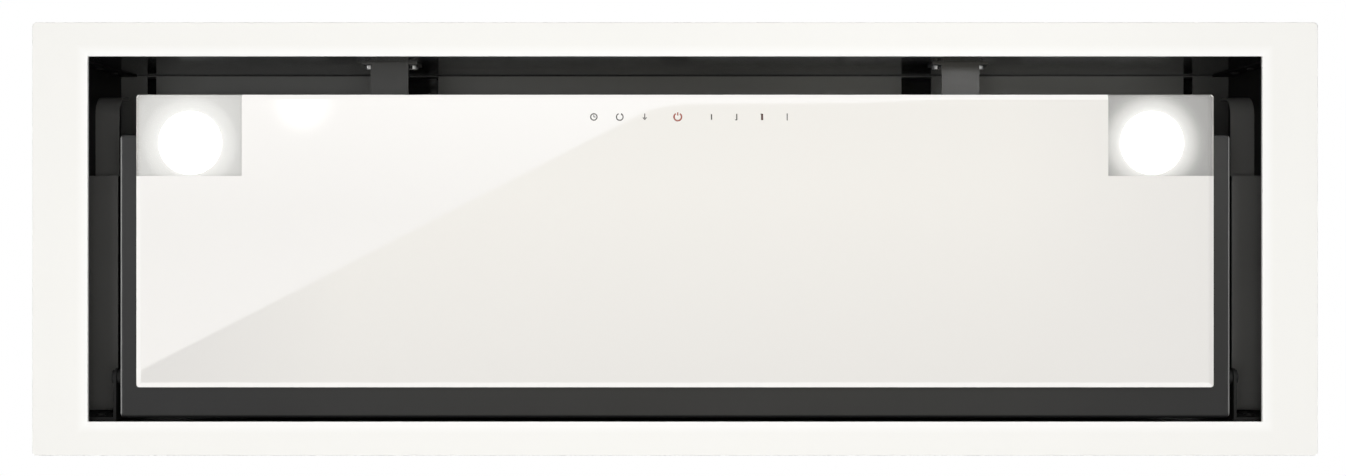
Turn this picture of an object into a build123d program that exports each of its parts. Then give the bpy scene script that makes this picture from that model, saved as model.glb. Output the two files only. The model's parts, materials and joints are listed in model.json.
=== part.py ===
from build123d import *
import os
from math import cos, radians, sin

# Built-in range hood: a sheet-steel casing with filters and blower, and a hinged glass panel below it.
# Millimetres, +Z up, the hood's front towards -Y, the glass facing -Z. The origin is the centre of the
# cabinet's cut-out, in the plane of the cabinet's underside, which is the trim frame's upper face.

# Trim frame: the white flange under the cabinet
trim_length = 890
trim_depth = 300
trim_thickness = 2.5
trim_corner = 3
trim_edge = 0.8
trim_end_rim = 38.5
trim_long_rim = 23.5
seal_groove_gap = 0.5
seal_groove_width = 2
seal_groove_depth = 0.8

# Casing: sheet panels that stand on the trim frame
sheet = 1.2
side_reach = 22
plenum_height = 140
upper_height = 60
fold = 12
foot_width = 18
bend = 1
mount_hole_radius = 3.25
mount_hole_inset = 46.5
mount_hole_rise = 24

# Fasteners
hole_clearance = 0.1
rivet_radius = 2
rivet_head_radius = 3.5
rivet_head_height = 1.4
rivet_head_taper = 30
screw_radius = 2
screw_head_radius = 4
screw_head_height = 2.4
screw_head_taper = 15
recess_length = 4.4
recess_width = 0.9
recess_depth = 1.2
screw_tail = 2.4
stud_radius = 2
stud_height = 8
stud_rows = 4
stud_end_inset = 27.5
nut_width = 7
nut_height = 3.2

# Hinged panel: tray, glass and the pads between them
side_gap = 19.9
rear_gap = 1.9
front_gap = 53.5
tray_sheet = 1
tray_rise = 5
tray_height = 20
tray_corner = 3
tray_bend = 2.2
pad_height = 6
pad_length = 60
pad_width = 14
pad_inset = 182
glass_side_setback = 14.6
glass_rear_setback = 22.2
glass_front_overhang = 26.6
glass_thickness = 5
glass_corner = 2
bevel_width = 3.4
bevel_height = 1.2

# Hinge at the panel's rear edge
hinge_setback = 28
hinge_rise = 9
pin_radius = 3
running_clearance = 0.05
pin_head_radius = 5
pin_head_length = 2.5
pin_clip_length = 1.2
end_play = 0.3
hinge_gap = 3.5
lug_thickness = 2
lug_radius = 6
hinge_foot_width = 26
hinge_foot_height = 26
hinge_rivet_inset = 15.5
hinge_rivet_rises = (9, 19.5)

# Catches at the panel's front edge
catch_inset = 182
strap_width = 27
strap_thickness = 1.5
strap_rise = 16
catch_foot_width = 40
catch_foot_height = 24
catch_screw_spacing = 31
closing_gap = 0.3
strike_width = 28
strike_reach = 24
strike_setback = 1
magnet_width = 22
magnet_depth = 14
magnet_setback = 9

# Air baffles along the end walls: a long one from the rear wall, and a short one higher up in front of it,
# with its front end turned up
baffle_width = 23
baffle_height = 24
baffle_z = 60
baffle_front_gap = 80.5
baffle_rear_gap = 2
short_baffle_width = 17.5
short_baffle_z = 80
short_baffle_front_gap = 21
short_baffle_turn = 13.5
baffle_joint = 0.5

# Lamps and touch keys behind the glass
lamp_inset_left = 36
lamp_inset_right = 41.5
lamp_inset_y = 33
lamp_plate_length = 75
lamp_plate_depth = 58
lamp_plate_inset = 1
lamp_plate_thickness = 1
lens_radius = 21.8
lens_clearance = 0.1
lens_thickness = 2
housing_radius = 27
housing_height = 4.7
touch_length = 165
touch_centre_x = 12
touch_height = 12
touch_corner = 2
touch_front_inset = 4
touch_tray_gap = 2.5

# Cut-outs along the filter deck's front edge, set a little to the left: two by the catches, two at the ends
deck_slot_inset = 1.2
deck_slot_depth = 14
deck_slot_shift = -3.8
catch_slot_offset = 13.8
catch_slot_width = 23
end_slot_inset = 27.4
end_slot_width = 7

# Grease filters under the filter deck
filter_names = ("left", "middle", "right")
filter_side_gap = 46
filter_end_gap = 19.5
filter_gap = 5
filter_thickness = 10
filter_rim = 14
filter_bearing = 7
mesh_inset = 1
rail_gap = 0.5
rail_ledge = 6
rail_drop = 16
latch_width = 28
latch_length = 27
latch_thickness = 3
latch_slack = 0.3
latch_tongue_width = 20
latch_tongue_reach = 4
latch_tab_thickness = 3
latch_tab_height = 14
gib_width = 3
gib_lip = 3
gib_lip_thickness = 1.5
gib_end_inset = 1

# Blower turret on the roof
turret_length = 300
turret_foot = 12
turret_ledge = 2
turret_screw_inset = 30

# Blower: scroll, impeller and motor on one axis along X
impeller_wall_gap = 66.5
impeller_width = 92
impeller_ring = 10
impeller_ring_width = 2.5
impeller_disc = 2
impeller_hub_radius = 10
impeller_hub_length = 18
blade_count = 32
blade_thickness = 1.2
scroll_side_gap = 4
scroll_wall = 2.5
scroll_growth = 20
cutoff_gap = 6
cutoff_angle = 111
spiral_steps = 8
throat_inset = 5
scroll_clearance = 4
blower_floor_gap = 14
inlet_inset = 8
inlet_lip = 4
inlet_lip_wall = 3
motor_inset = 22
motor_length = 52
motor_gap = 6
motor_edge = 4
shaft_radius = 4
shaft_overhang = 6
bracket_thickness = 3
bracket_hub_radius = 24
bracket_arm_width = 12
bracket_arms = 3
bracket_foot = 8
capacitor_radius = 14
capacitor_length = 55
capacitor_y = 70
capacitor_rise = 41

# Outlet collar with two damper flaps
collar_radius = 74
collar_wall = 2.5
collar_height = 45
collar_flange = 178
collar_flange_corner = 8
collar_flange_thickness = 3
collar_screw_inset = 10
ledge_width = 6
ledge_height = 4
flap_thickness = 1.5
flap_gap = 0.3
flap_edge_gap = 1
flap_hinge_gap = 6
damper_pin_radius = 1.5
knuckle_radius = 3
knuckle_length = 14
knuckle_places = (-45, 15)

# Control box on the roof
box_gap = 40
box_length = 140
box_depth = 90
box_height = 42
box_wall = 2
box_corner = 4
lid_thickness = 2.5
lid_edge = 1
post_size = 9
lid_screw_grip = 14
terminal_length = 60
terminal_depth = 18
terminal_height = 16
terminal_poles = 4
terminal_groove = 1.5
gland_z = 22
gland_hex = 18
gland_hex_length = 7
gland_nut_radius = 8.5
gland_nut_length = 10
gland_bore_radius = 4.5
gland_neck_radius = 7


def spiral(wall):
    """The scroll's spiral about the blower's axis, a wall's thickness outside its inner face."""
    points = []
    for step in range(spiral_steps + 1):
        share = step / spiral_steps
        angle = radians(cutoff_angle + share * (360 - cutoff_angle))
        radius = impeller_radius + cutoff_gap + share * scroll_growth + wall
        points.append((radius * cos(angle), radius * sin(angle)))
    return points


# Places worked out from the driving dimensions
opening_length = trim_length - 2 * trim_end_rim
opening_depth = trim_depth - 2 * trim_long_rim
wall_x = opening_length / 2 + side_reach
wall_y = opening_depth / 2
outer_x = wall_x + sheet
outer_y = wall_y + sheet
deck_top = plenum_height + sheet
casing_height = plenum_height + upper_height
roof_top = casing_height + sheet
mount_hole_spacing = 2 * (wall_y - mount_hole_inset)
mount_hole_z = deck_top + mount_hole_rise

impeller_radius = wall_y - impeller_wall_gap
inlet_radius = impeller_radius - inlet_inset
motor_radius = impeller_radius - motor_inset
throat_half = impeller_radius - throat_inset
throat_rise = impeller_radius + cutoff_gap + scroll_growth
scroll_half = impeller_width / 2 + scroll_side_gap
scroll_start = impeller_radius + cutoff_gap
scroll_front = min(y for y, z in spiral(scroll_wall))
scroll_bottom = min(z for y, z in spiral(scroll_wall))
blower_y = throat_half - scroll_start - scroll_growth
blower_z = deck_top + blower_floor_gap - scroll_bottom
throat_front = blower_y + scroll_start * cos(radians(cutoff_angle))
motor_front = -impeller_disc / 2 - motor_gap
motor_rear = motor_front - motor_length

turret_x = turret_length / 2
turret_y = sheet + scroll_clearance - blower_y - scroll_front
turret_top_z = blower_z + throat_rise
collar_z = turret_top_z + sheet

tray_x = opening_length / 2 - side_gap
tray_rear = wall_y - rear_gap
tray_front = front_gap - wall_y
tray_depth = tray_rear - tray_front
tray_top = tray_rise + tray_height
glass_x = tray_x - glass_side_setback
glass_rear = tray_rear - glass_rear_setback
glass_front = tray_front - glass_front_overhang
glass_depth = glass_rear - glass_front
glass_centre_y = (glass_front + glass_rear) / 2
glass_top = tray_rise - pad_height
glass_bottom = glass_top - glass_thickness
lamp_insets = {"left": lamp_inset_left, "right": lamp_inset_right}
hinge_y = tray_rear - hinge_setback
hinge_z = tray_rise + hinge_rise
lug_x = tray_x + hinge_gap
catch_x = tray_x - catch_inset
strike_top = tray_top - strike_setback
strap_z = strike_top + strap_rise

filter_bottom = plenum_height - filter_thickness
filter_reach = wall_x - filter_side_gap
filter_pitch = 2 * filter_reach / len(filter_names)
filter_width = filter_pitch - filter_gap
filter_depth = 2 * (wall_y - filter_end_gap)
rail_y = filter_depth / 2 + rail_gap
latch_top = filter_bottom - latch_slack
latch_bottom = latch_top - latch_thickness

collar_bore = collar_radius - collar_wall
flap_z = collar_z + ledge_height + flap_gap + flap_thickness / 2

box_x = turret_x + box_gap
box_end = box_x + box_length
box_top = roof_top + box_height

sides = (("left", -1), ("right", 1))
ends = (("front", -1), ("rear", 1))

stud_reach = wall_y - stud_end_inset
stud_pitch = 2 * stud_reach / (stud_rows - 1)
stud_points = [
    (side * (wall_x - foot_width / 2), row * stud_pitch - stud_reach)
    for side in (-1, 1)
    for row in range(stud_rows)
]
corner_rivets = [
    (side * (wall_x - fold / 2), plenum_height * step / 4) for side in (-1, 1) for step in (1, 2, 3)
]
deck_rivets = [(wall_x * step / 3, deck_top + fold / 2) for step in (-2, -1, 0, 1, 2)]
hinge_rivets = [
    (side * (lug_x + hinge_rivet_inset), hinge_z + rise)
    for side in (-1, 1)
    for rise in hinge_rivet_rises
]
catch_screws = [
    (side * catch_x + place * catch_screw_spacing / 2, strap_z + catch_foot_height / 2)
    for side in (-1, 1)
    for place in (-1, 1)
]
turret_screws = [
    (place * (turret_x - turret_screw_inset), end * (turret_y + turret_foot / 2))
    for end in (-1, 1)
    for place in (-1, 1)
] + [
    (side * (turret_x + turret_foot / 2), place * (turret_y - turret_screw_inset))
    for side in (-1, 1)
    for place in (-1, 1)
]
collar_screws = [
    (
        place * (collar_flange / 2 - collar_screw_inset),
        end * (collar_flange / 2 - collar_screw_inset),
    )
    for place in (-1, 1)
    for end in (-1, 1)
]
box_screws = [
    (x, end * (box_depth / 2 - box_wall - post_size / 2))
    for x in (box_x + box_wall + post_size / 2, box_end - box_wall - post_size / 2)
    for end in (-1, 1)
]


def block(x, y, z, mode=Mode.ADD):
    """A box between two corners, where each argument is a pair of coordinates."""
    with Locations(((x[0] + x[1]) / 2, (y[0] + y[1]) / 2, (z[0] + z[1]) / 2)):
        Box(abs(x[1] - x[0]), abs(y[1] - y[0]), abs(z[1] - z[0]), mode=mode)


def rod(axis, span, across, radius, mode=Mode.ADD):
    """A cylinder along an axis: its span along that axis, and its two other coordinates."""
    middle = (span[0] + span[1]) / 2
    length = abs(span[1] - span[0])
    if axis == "x":
        with Locations((middle, *across)):
            Cylinder(radius, length, rotation=(0, 90, 0), mode=mode)
    elif axis == "y":
        with Locations((across[0], middle, across[1])):
            Cylinder(radius, length, rotation=(90, 0, 0), mode=mode)
    else:
        with Locations((*across, middle)):
            Cylinder(radius, length, mode=mode)


def fastener_holes(axis, span, points, radius):
    """Clearance holes for fasteners of a radius, through a sheet."""
    for across in points:
        rod(axis, span, across, radius + hole_clearance, Mode.SUBTRACT)


def pan_screw(seat, length):
    """A pan-head screw: its head stands on the seat plane and its shank goes through below."""
    with BuildSketch(seat) as head:
        Circle(screw_head_radius)
    extrude(head.sketch, amount=screw_head_height, taper=screw_head_taper)
    with BuildSketch(seat) as shank:
        Circle(screw_radius)
    extrude(shank.sketch, amount=-length)
    with BuildSketch(seat.offset(screw_head_height)) as recess:
        Rectangle(recess_length, recess_width)
        Rectangle(recess_width, recess_length)
    extrude(recess.sketch, amount=-recess_depth, mode=Mode.SUBTRACT)


def across_x(x, y=0, z=0):
    """A plane square to X, with Y to its right and Z up."""
    return Plane(origin=(x, y, z), x_dir=(0, 1, 0), z_dir=(1, 0, 0))


def turned_sheet(along, bottom, top, radius):
    """A sheet's side view in Y and Z: level from its rear end, and turned up in an arc at its front end."""
    front, rear = along
    with BuildLine() as outline:
        under = Line((rear, bottom), (front + radius, bottom))
        outside = RadiusArc(under @ 1, (front, bottom + radius), radius)
        lip = Polyline(outside @ 1, (front, top), (front + sheet, top), (front + sheet, bottom + radius))
        inside = RadiusArc(lip @ 1, (front + radius, bottom + sheet), sheet - radius)
        Polyline(inside @ 1, (rear, bottom + sheet), (rear, bottom))
    make_face(outline.edges())


def scroll_points(wall):
    """The spiral's points in the YZ plane, a wall's thickness outside its inner face."""
    return [(blower_y + y, blower_z + z) for y, z in spiral(wall)]


def save(piece, name):
    """Label a finished piece and write it."""
    piece.part.label = name
    export_step(piece.part, f"parts/{name}.step")


os.makedirs("parts", exist_ok=True)

# Trim frame with the studs that hold it to the casing, and a sealant groove around the casing
with BuildPart() as trim_frame:
    with BuildSketch():
        RectangleRounded(trim_length, trim_depth, trim_corner)
        Rectangle(opening_length, opening_depth, mode=Mode.SUBTRACT)
    extrude(amount=-trim_thickness)
    fillet(trim_frame.faces().sort_by(Axis.Z)[0].outer_wire().edges(), trim_edge)
    groove_x = outer_x + seal_groove_gap
    groove_y = outer_y + seal_groove_gap
    with BuildSketch():
        Rectangle(2 * (groove_x + seal_groove_width), 2 * (groove_y + seal_groove_width))
        Rectangle(2 * groove_x, 2 * groove_y, mode=Mode.SUBTRACT)
    extrude(amount=-seal_groove_depth, mode=Mode.SUBTRACT)
    for point in stud_points:
        rod("z", (0, stud_height), point, stud_radius)
save(trim_frame, "trim_frame")

with BuildPart() as trim_nuts:
    with BuildSketch(Plane.XY.offset(sheet)):
        with Locations(*stud_points):
            RegularPolygon(nut_width / 2, 6, major_radius=False)
            Circle(stud_radius + hole_clearance, mode=Mode.SUBTRACT)
    extrude(amount=nut_height)
save(trim_nuts, "trim_nuts")

# Casing walls
for name, end in ends:
    with BuildPart() as casing_wall:
        span = (end * wall_y, end * outer_y)
        block((-outer_x, outer_x), span, (0, casing_height))
        fastener_holes("y", span, corner_rivets + deck_rivets, rivet_radius)
        if name == "rear":
            fastener_holes("y", span, hinge_rivets, rivet_radius)
        else:
            fastener_holes("y", span, catch_screws, screw_radius)
    save(casing_wall, f"casing_{name}")

for name, side in sides:
    with BuildPart() as casing_end:
        block((side * wall_x, side * outer_x), (-wall_y, wall_y), (0, casing_height))
        block((side * wall_x, side * (wall_x - foot_width)), (-wall_y, wall_y), (0, sheet))
        for end in (-1, 1):
            flange = (end * wall_y, end * (wall_y - sheet))
            block((side * wall_x, side * (wall_x - fold)), flange, (sheet, plenum_height))
            fastener_holes("y", flange, corner_rivets, rivet_radius)
        fastener_holes("z", (0, sheet), stud_points, stud_radius)
        for place in (-1, 1):
            hole = (place * mount_hole_spacing / 2, mount_hole_z)
            rod("x", (side * wall_x, side * outer_x), hole, mount_hole_radius, Mode.SUBTRACT)
    save(casing_end, f"casing_{name}")

# Filter deck, the plenum's ceiling, with one opening over each filter and cut-outs along its front edge
with BuildPart() as filter_deck:
    block((-wall_x, wall_x), (-wall_y, wall_y), (plenum_height, deck_top))
    for end in (-1, 1):
        flange = (end * wall_y, end * (wall_y - sheet))
        block((-wall_x, wall_x), flange, (deck_top, deck_top + fold))
        fastener_holes("y", flange, deck_rivets, rivet_radius)
    fillet(filter_deck.edges().filter_by(Axis.X).group_by(Axis.Z)[0], bend)
    with BuildSketch(Plane.XY.offset(plenum_height)):
        with GridLocations(filter_pitch, 1, len(filter_names), 1):
            Rectangle(filter_width - 2 * filter_bearing, filter_depth - 2 * filter_bearing)
    extrude(amount=sheet, mode=Mode.SUBTRACT)
    slot_front = deck_slot_inset - wall_y
    slot_span = (slot_front, slot_front + deck_slot_depth)
    catch_slot = (catch_x - catch_slot_offset, catch_slot_width)
    end_slot = (wall_x - end_slot_inset, end_slot_width)
    for name, side in sides:
        for slot_x, width in (catch_slot, end_slot):
            middle = side * slot_x + deck_slot_shift
            across = (middle - width / 2, middle + width / 2)
            block(across, slot_span, (plenum_height, deck_top), Mode.SUBTRACT)
save(filter_deck, "filter_deck")

# Roof plate, a shallow lid over the walls with the blower's opening
with BuildPart() as roof_plate:
    skirt_z = casing_height - fold
    block((-outer_x - sheet, outer_x + sheet), (-outer_y - sheet, outer_y + sheet), (skirt_z, roof_top))
    fillet(roof_plate.edges().filter_by(Axis.Z), bend)
    fillet(roof_plate.faces().sort_by(Axis.Z)[-1].edges(), bend)
    block((-outer_x, outer_x), (-outer_y, outer_y), (skirt_z, casing_height), Mode.SUBTRACT)
    opening_x = turret_x - sheet - turret_ledge
    opening_y = turret_y - sheet - turret_ledge
    block((-opening_x, opening_x), (-opening_y, opening_y), (casing_height, roof_top), Mode.SUBTRACT)
    fastener_holes("z", (casing_height, roof_top), turret_screws, screw_radius)
save(roof_plate, "roof_plate")

# Rivets through the walls and what they hold inside
with BuildPart() as casing_rivets:
    held_in = [(point, sheet, end) for point in corner_rivets + deck_rivets for end in (-1, 1)]
    held_in += [(point, lug_thickness, 1) for point in hinge_rivets]
    for point, thickness, end in held_in:
        inner = end * (wall_y - thickness)
        outer = end * outer_y
        rod("y", (inner, outer), point, rivet_radius)
        rod("y", (inner, inner - end * rivet_head_height), point, rivet_head_radius)
        with BuildSketch(Plane(origin=(point[0], outer, point[1]), z_dir=(0, end, 0))):
            Circle(rivet_head_radius)
        extrude(amount=rivet_head_height, taper=rivet_head_taper)
save(casing_rivets, "casing_rivets")

# Air baffles on the end walls
with BuildPart() as side_baffles:
    long_front = baffle_front_gap - wall_y
    long_span = (long_front, wall_y - baffle_rear_gap)
    short_span = (short_baffle_front_gap - wall_y, long_front - baffle_joint)
    short_top = short_baffle_z + baffle_height
    for name, side in sides:
        long_across = (side * wall_x, side * (wall_x - baffle_width))
        flange = (side * wall_x, side * (wall_x - sheet))
        block(long_across, long_span, (baffle_z, baffle_z + sheet))
        block(flange, long_span, (baffle_z, baffle_z + baffle_height))
        with BuildSketch(across_x(side * wall_x)) as turned_plate:
            turned_sheet(short_span, short_baffle_z, short_top, short_baffle_turn)
        extrude(turned_plate.sketch, amount=-side * short_baffle_width)
        block(flange, (short_span[0] + short_baffle_turn, short_span[1]), (short_baffle_z, short_top))
save(side_baffles, "side_baffles")

# Catch straps on the front wall, and their magnets
for name, side in sides:
    with BuildPart() as catch_bracket:
        half_strap = strap_width / 2
        half_foot = catch_foot_width / 2
        strap_end = tray_front - magnet_setback
        foot_span = (-wall_y, -wall_y + strap_thickness)
        block(
            (side * catch_x - half_strap, side * catch_x + half_strap),
            (-wall_y, strap_end),
            (strap_z, strap_z + strap_thickness),
        )
        block(
            (side * catch_x - half_foot, side * catch_x + half_foot),
            foot_span,
            (strap_z, strap_z + catch_foot_height),
        )
        fastener_holes("y", foot_span, catch_screws, screw_radius)
    save(catch_bracket, f"catch_bracket_{name}")

with BuildPart() as catch_magnets:
    for name, side in sides:
        magnet_rear = tray_front - magnet_setback
        block(
            (side * catch_x - magnet_width / 2, side * catch_x + magnet_width / 2),
            (magnet_rear - magnet_depth, magnet_rear),
            (strike_top + closing_gap, strap_z),
        )
save(catch_magnets, "catch_magnets")

# Hinge brackets on the rear wall
for name, side in sides:
    with BuildPart() as hinge_bracket:
        lug_span = (side * lug_x, side * (lug_x + lug_thickness))
        foot_span = (side * lug_x, side * (lug_x + hinge_foot_width))
        foot_depth = (wall_y - lug_thickness, wall_y)
        block(lug_span, (hinge_y, wall_y), (hinge_z - lug_radius, hinge_z + lug_radius))
        rod("x", lug_span, (hinge_y, hinge_z), lug_radius)
        block(foot_span, foot_depth, (hinge_z - lug_radius, hinge_z + hinge_foot_height))
        rod("x", lug_span, (hinge_y, hinge_z), pin_radius + running_clearance, Mode.SUBTRACT)
        fastener_holes("y", foot_depth, hinge_rivets, rivet_radius)
    save(hinge_bracket, f"hinge_bracket_{name}")

# Grease filters: frame, mesh and sprung latch
for index, name in enumerate(filter_names):
    filter_x = (index - (len(filter_names) - 1) / 2) * filter_pitch
    outer_half = filter_width / 2
    inner_half = outer_half - filter_rim
    inner_depth = filter_depth / 2 - filter_rim
    gib_span = (-filter_depth / 2 + gib_end_inset, -inner_depth - gib_end_inset)
    lip_bottom = latch_bottom - latch_slack - gib_lip_thickness

    with BuildPart() as filter_frame:
        block(
            (filter_x - outer_half, filter_x + outer_half),
            (-filter_depth / 2, filter_depth / 2),
            (filter_bottom, plenum_height),
        )
        block(
            (filter_x - inner_half, filter_x + inner_half),
            (-inner_depth, inner_depth),
            (filter_bottom, plenum_height),
            Mode.SUBTRACT,
        )
        for side in (-1, 1):
            gib_inner = filter_x + side * (latch_width / 2 + latch_slack)
            gib_outer = gib_inner + side * gib_width
            lip_inner = filter_x + side * (latch_width / 2 - gib_lip)
            block((gib_inner, gib_outer), gib_span, (lip_bottom, filter_bottom))
            block((lip_inner, gib_outer), gib_span, (lip_bottom, lip_bottom + gib_lip_thickness))
    save(filter_frame, f"filter_frame_{name}")

    with BuildPart() as filter_mesh:
        block(
            (filter_x - inner_half, filter_x + inner_half),
            (-inner_depth, inner_depth),
            (filter_bottom + mesh_inset, plenum_height - mesh_inset),
        )
    save(filter_mesh, f"filter_mesh_{name}")

    with BuildPart() as filter_latch:
        half = latch_width / 2
        half_tongue = latch_tongue_width / 2
        plate_front = -filter_depth / 2 + rail_gap
        plate_rear = plate_front + latch_length
        tongue_front = -filter_depth / 2 - latch_tongue_reach
        tab_front = plate_rear - latch_tab_thickness
        block((filter_x - half, filter_x + half), (plate_front, plate_rear), (latch_bottom, latch_top))
        block(
            (filter_x - half_tongue, filter_x + half_tongue),
            (tongue_front, plate_front),
            (latch_bottom, latch_top),
        )
        block(
            (filter_x - half, filter_x + half),
            (tab_front, plate_rear),
            (latch_bottom - latch_tab_height, latch_bottom),
        )
        fillet(filter_latch.edges().filter_by(Axis.X).sort_by(Axis.Z)[:2], latch_tab_thickness / 3)
    save(filter_latch, f"filter_latch_{name}")

# Rails under the deck: a ledge at the rear, and slots for the latches at the front
with BuildPart() as filter_rails:
    block((-filter_reach, filter_reach), (rail_y, rail_y + sheet), (filter_bottom - sheet, plenum_height))
    block(
        (-filter_reach, filter_reach),
        (filter_depth / 2 - rail_ledge, rail_y + sheet),
        (filter_bottom - sheet, filter_bottom),
    )
    rail_span = (-rail_y - sheet, -rail_y)
    block((-filter_reach, filter_reach), rail_span, (filter_bottom - rail_drop, plenum_height))
    for index in range(len(filter_names)):
        slot_x = (index - (len(filter_names) - 1) / 2) * filter_pitch
        slot_half = latch_tongue_width / 2 + latch_slack
        block(
            (slot_x - slot_half, slot_x + slot_half),
            rail_span,
            (latch_bottom - latch_slack, latch_top + latch_slack),
            Mode.SUBTRACT,
        )
save(filter_rails, "filter_rails")

# Blower turret: four walls with feet on the roof, and a shallow lid
for name, end in ends:
    with BuildPart() as turret_wall:
        foot = (end * turret_y, end * (turret_y + turret_foot))
        block((-turret_x, turret_x), (end * (turret_y - sheet), end * turret_y), (roof_top, turret_top_z))
        block((-turret_x, turret_x), foot, (roof_top, roof_top + sheet))
        fastener_holes("z", (roof_top, roof_top + sheet), turret_screws, screw_radius)
    save(turret_wall, f"turret_{name}")

for name, side in sides:
    with BuildPart() as turret_end:
        half_depth = turret_y - sheet
        foot = (side * turret_x, side * (turret_x + turret_foot))
        wall = (side * (turret_x - sheet), side * turret_x)
        block(wall, (-half_depth, half_depth), (roof_top, turret_top_z))
        block(foot, (-half_depth, half_depth), (roof_top, roof_top + sheet))
        fastener_holes("z", (roof_top, roof_top + sheet), turret_screws, screw_radius)
    save(turret_end, f"turret_{name}")

with BuildPart() as turret_lid:
    skirt_z = turret_top_z - fold
    block((-turret_x - sheet, turret_x + sheet), (-turret_y - sheet, turret_y + sheet), (skirt_z, collar_z))
    fillet(turret_lid.edges().filter_by(Axis.Z), bend)
    fillet(turret_lid.faces().sort_by(Axis.Z)[-1].edges(), bend)
    block((-turret_x, turret_x), (-turret_y, turret_y), (skirt_z, turret_top_z), Mode.SUBTRACT)
    rod("z", (turret_top_z, collar_z), (0, 0), collar_bore - ledge_width, Mode.SUBTRACT)
    fastener_holes("z", (turret_top_z, collar_z), collar_screws, screw_radius)
save(turret_lid, "turret_lid")

# Outlet collar, its damper pin and the two flaps
with BuildPart() as outlet_collar:
    with BuildSketch(Plane.XY.offset(collar_z)):
        RectangleRounded(collar_flange, collar_flange, collar_flange_corner)
    extrude(amount=collar_flange_thickness)
    rod("z", (collar_z, collar_z + collar_height), (0, 0), collar_radius)
    rod("z", (collar_z + ledge_height, collar_z + collar_height), (0, 0), collar_bore, Mode.SUBTRACT)
    rod("z", (collar_z, collar_z + ledge_height), (0, 0), collar_bore - ledge_width, Mode.SUBTRACT)
    pin_hole = damper_pin_radius + running_clearance
    rod("x", (-collar_radius, collar_radius), (0, flap_z), pin_hole, Mode.SUBTRACT)
    flange_span = (collar_z, collar_z + collar_flange_thickness)
    fastener_holes("z", flange_span, collar_screws, screw_radius)
save(outlet_collar, "outlet_collar")

with BuildPart() as damper_pin:
    rod("x", (-collar_radius, collar_radius), (0, flap_z), damper_pin_radius)
save(damper_pin, "damper_pin")

for name, end in ends:
    with BuildPart() as damper_flap:
        plate_bottom = flap_z - flap_thickness / 2
        flap_radius = collar_bore - flap_edge_gap
        rod("z", (plate_bottom, plate_bottom + flap_thickness), (0, 0), flap_radius)
        block(
            (-flap_radius, flap_radius),
            (end * flap_hinge_gap, -end * flap_radius),
            (plate_bottom, plate_bottom + flap_thickness),
            Mode.SUBTRACT,
        )
        for place in knuckle_places:
            knuckle = (end * place - knuckle_length / 2, end * place + knuckle_length / 2)
            block(knuckle, (0, end * 2 * flap_hinge_gap), (plate_bottom, plate_bottom + flap_thickness))
            rod("x", knuckle, (0, flap_z), knuckle_radius)
            rod("x", knuckle, (0, flap_z), damper_pin_radius + running_clearance, Mode.SUBTRACT)
    save(damper_flap, f"damper_flap_{name}")

# Blower scroll: a spiral wrap with its outlet throat, and two sides with inlets
with BuildPart() as scroll_wrap:
    inner = scroll_points(0)
    outer = scroll_points(scroll_wall)
    with BuildSketch(Plane.YZ):
        with BuildLine():
            Spline(*inner)
            Polyline(
                inner[-1],
                (inner[-1][0], turret_top_z),
                (outer[-1][0], turret_top_z),
                outer[-1],
            )
            Spline(*reversed(outer))
            Line(outer[0], inner[0])
        make_face()
    extrude(amount=scroll_half, both=True)
    block(
        (-scroll_half, scroll_half),
        (throat_front - scroll_wall, throat_front),
        (inner[0][1], turret_top_z),
    )
save(scroll_wrap, "scroll_wrap")

for name, side in sides:
    with BuildPart() as scroll_side:
        outer = scroll_points(scroll_wall)
        with BuildSketch(across_x(side * scroll_half)):
            with BuildLine():
                Spline(*outer)
                Polyline(
                    outer[-1],
                    (outer[-1][0], turret_top_z),
                    (throat_front - scroll_wall, turret_top_z),
                    outer[0],
                )
            make_face()
            with Locations((blower_y, blower_z)):
                Circle(inlet_radius, mode=Mode.SUBTRACT)
        extrude(amount=side * scroll_wall)
        with BuildSketch(across_x(side * (scroll_half + scroll_wall), blower_y, blower_z)):
            Circle(inlet_radius + inlet_lip_wall)
            Circle(inlet_radius, mode=Mode.SUBTRACT)
        extrude(amount=side * inlet_lip)
    save(scroll_side, f"scroll_side_{name}")

# Motor on its three-armed bracket, inside the impeller's left half
with BuildPart() as motor:
    rod("x", (motor_rear, motor_front), (blower_y, blower_z), motor_radius)
    fillet(motor.edges(), motor_edge)
    rod(
        "x",
        (motor_rear, motor_front),
        (blower_y, blower_z),
        shaft_radius + running_clearance,
        Mode.SUBTRACT,
    )
save(motor, "motor")

with BuildPart() as motor_bracket:
    foot_start = inlet_radius + inlet_lip_wall + hole_clearance
    arm_reach = foot_start + bracket_foot
    with BuildSketch(across_x(motor_rear, blower_y, blower_z)):
        Circle(bracket_hub_radius)
        with PolarLocations(arm_reach / 2, bracket_arms):
            Rectangle(arm_reach, bracket_arm_width)
        Circle(2 * shaft_radius, mode=Mode.SUBTRACT)
    extrude(amount=-bracket_thickness)
    with BuildSketch(across_x(motor_rear, blower_y, blower_z)):
        with PolarLocations(foot_start + bracket_foot / 2, bracket_arms):
            Rectangle(bracket_foot, bracket_arm_width)
    extrude(amount=-scroll_half - scroll_wall - motor_rear)
save(motor_bracket, "motor_bracket")

with BuildPart() as capacitor:
    capacitor_end = turret_x - sheet
    capacitor_z = roof_top + capacitor_rise
    rod("x", (capacitor_end - capacitor_length, capacitor_end), (capacitor_y, capacitor_z), capacitor_radius)
    fillet(capacitor.faces().sort_by(Axis.X)[0].edges(), motor_edge / 2)
save(capacitor, "capacitor")

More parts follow.
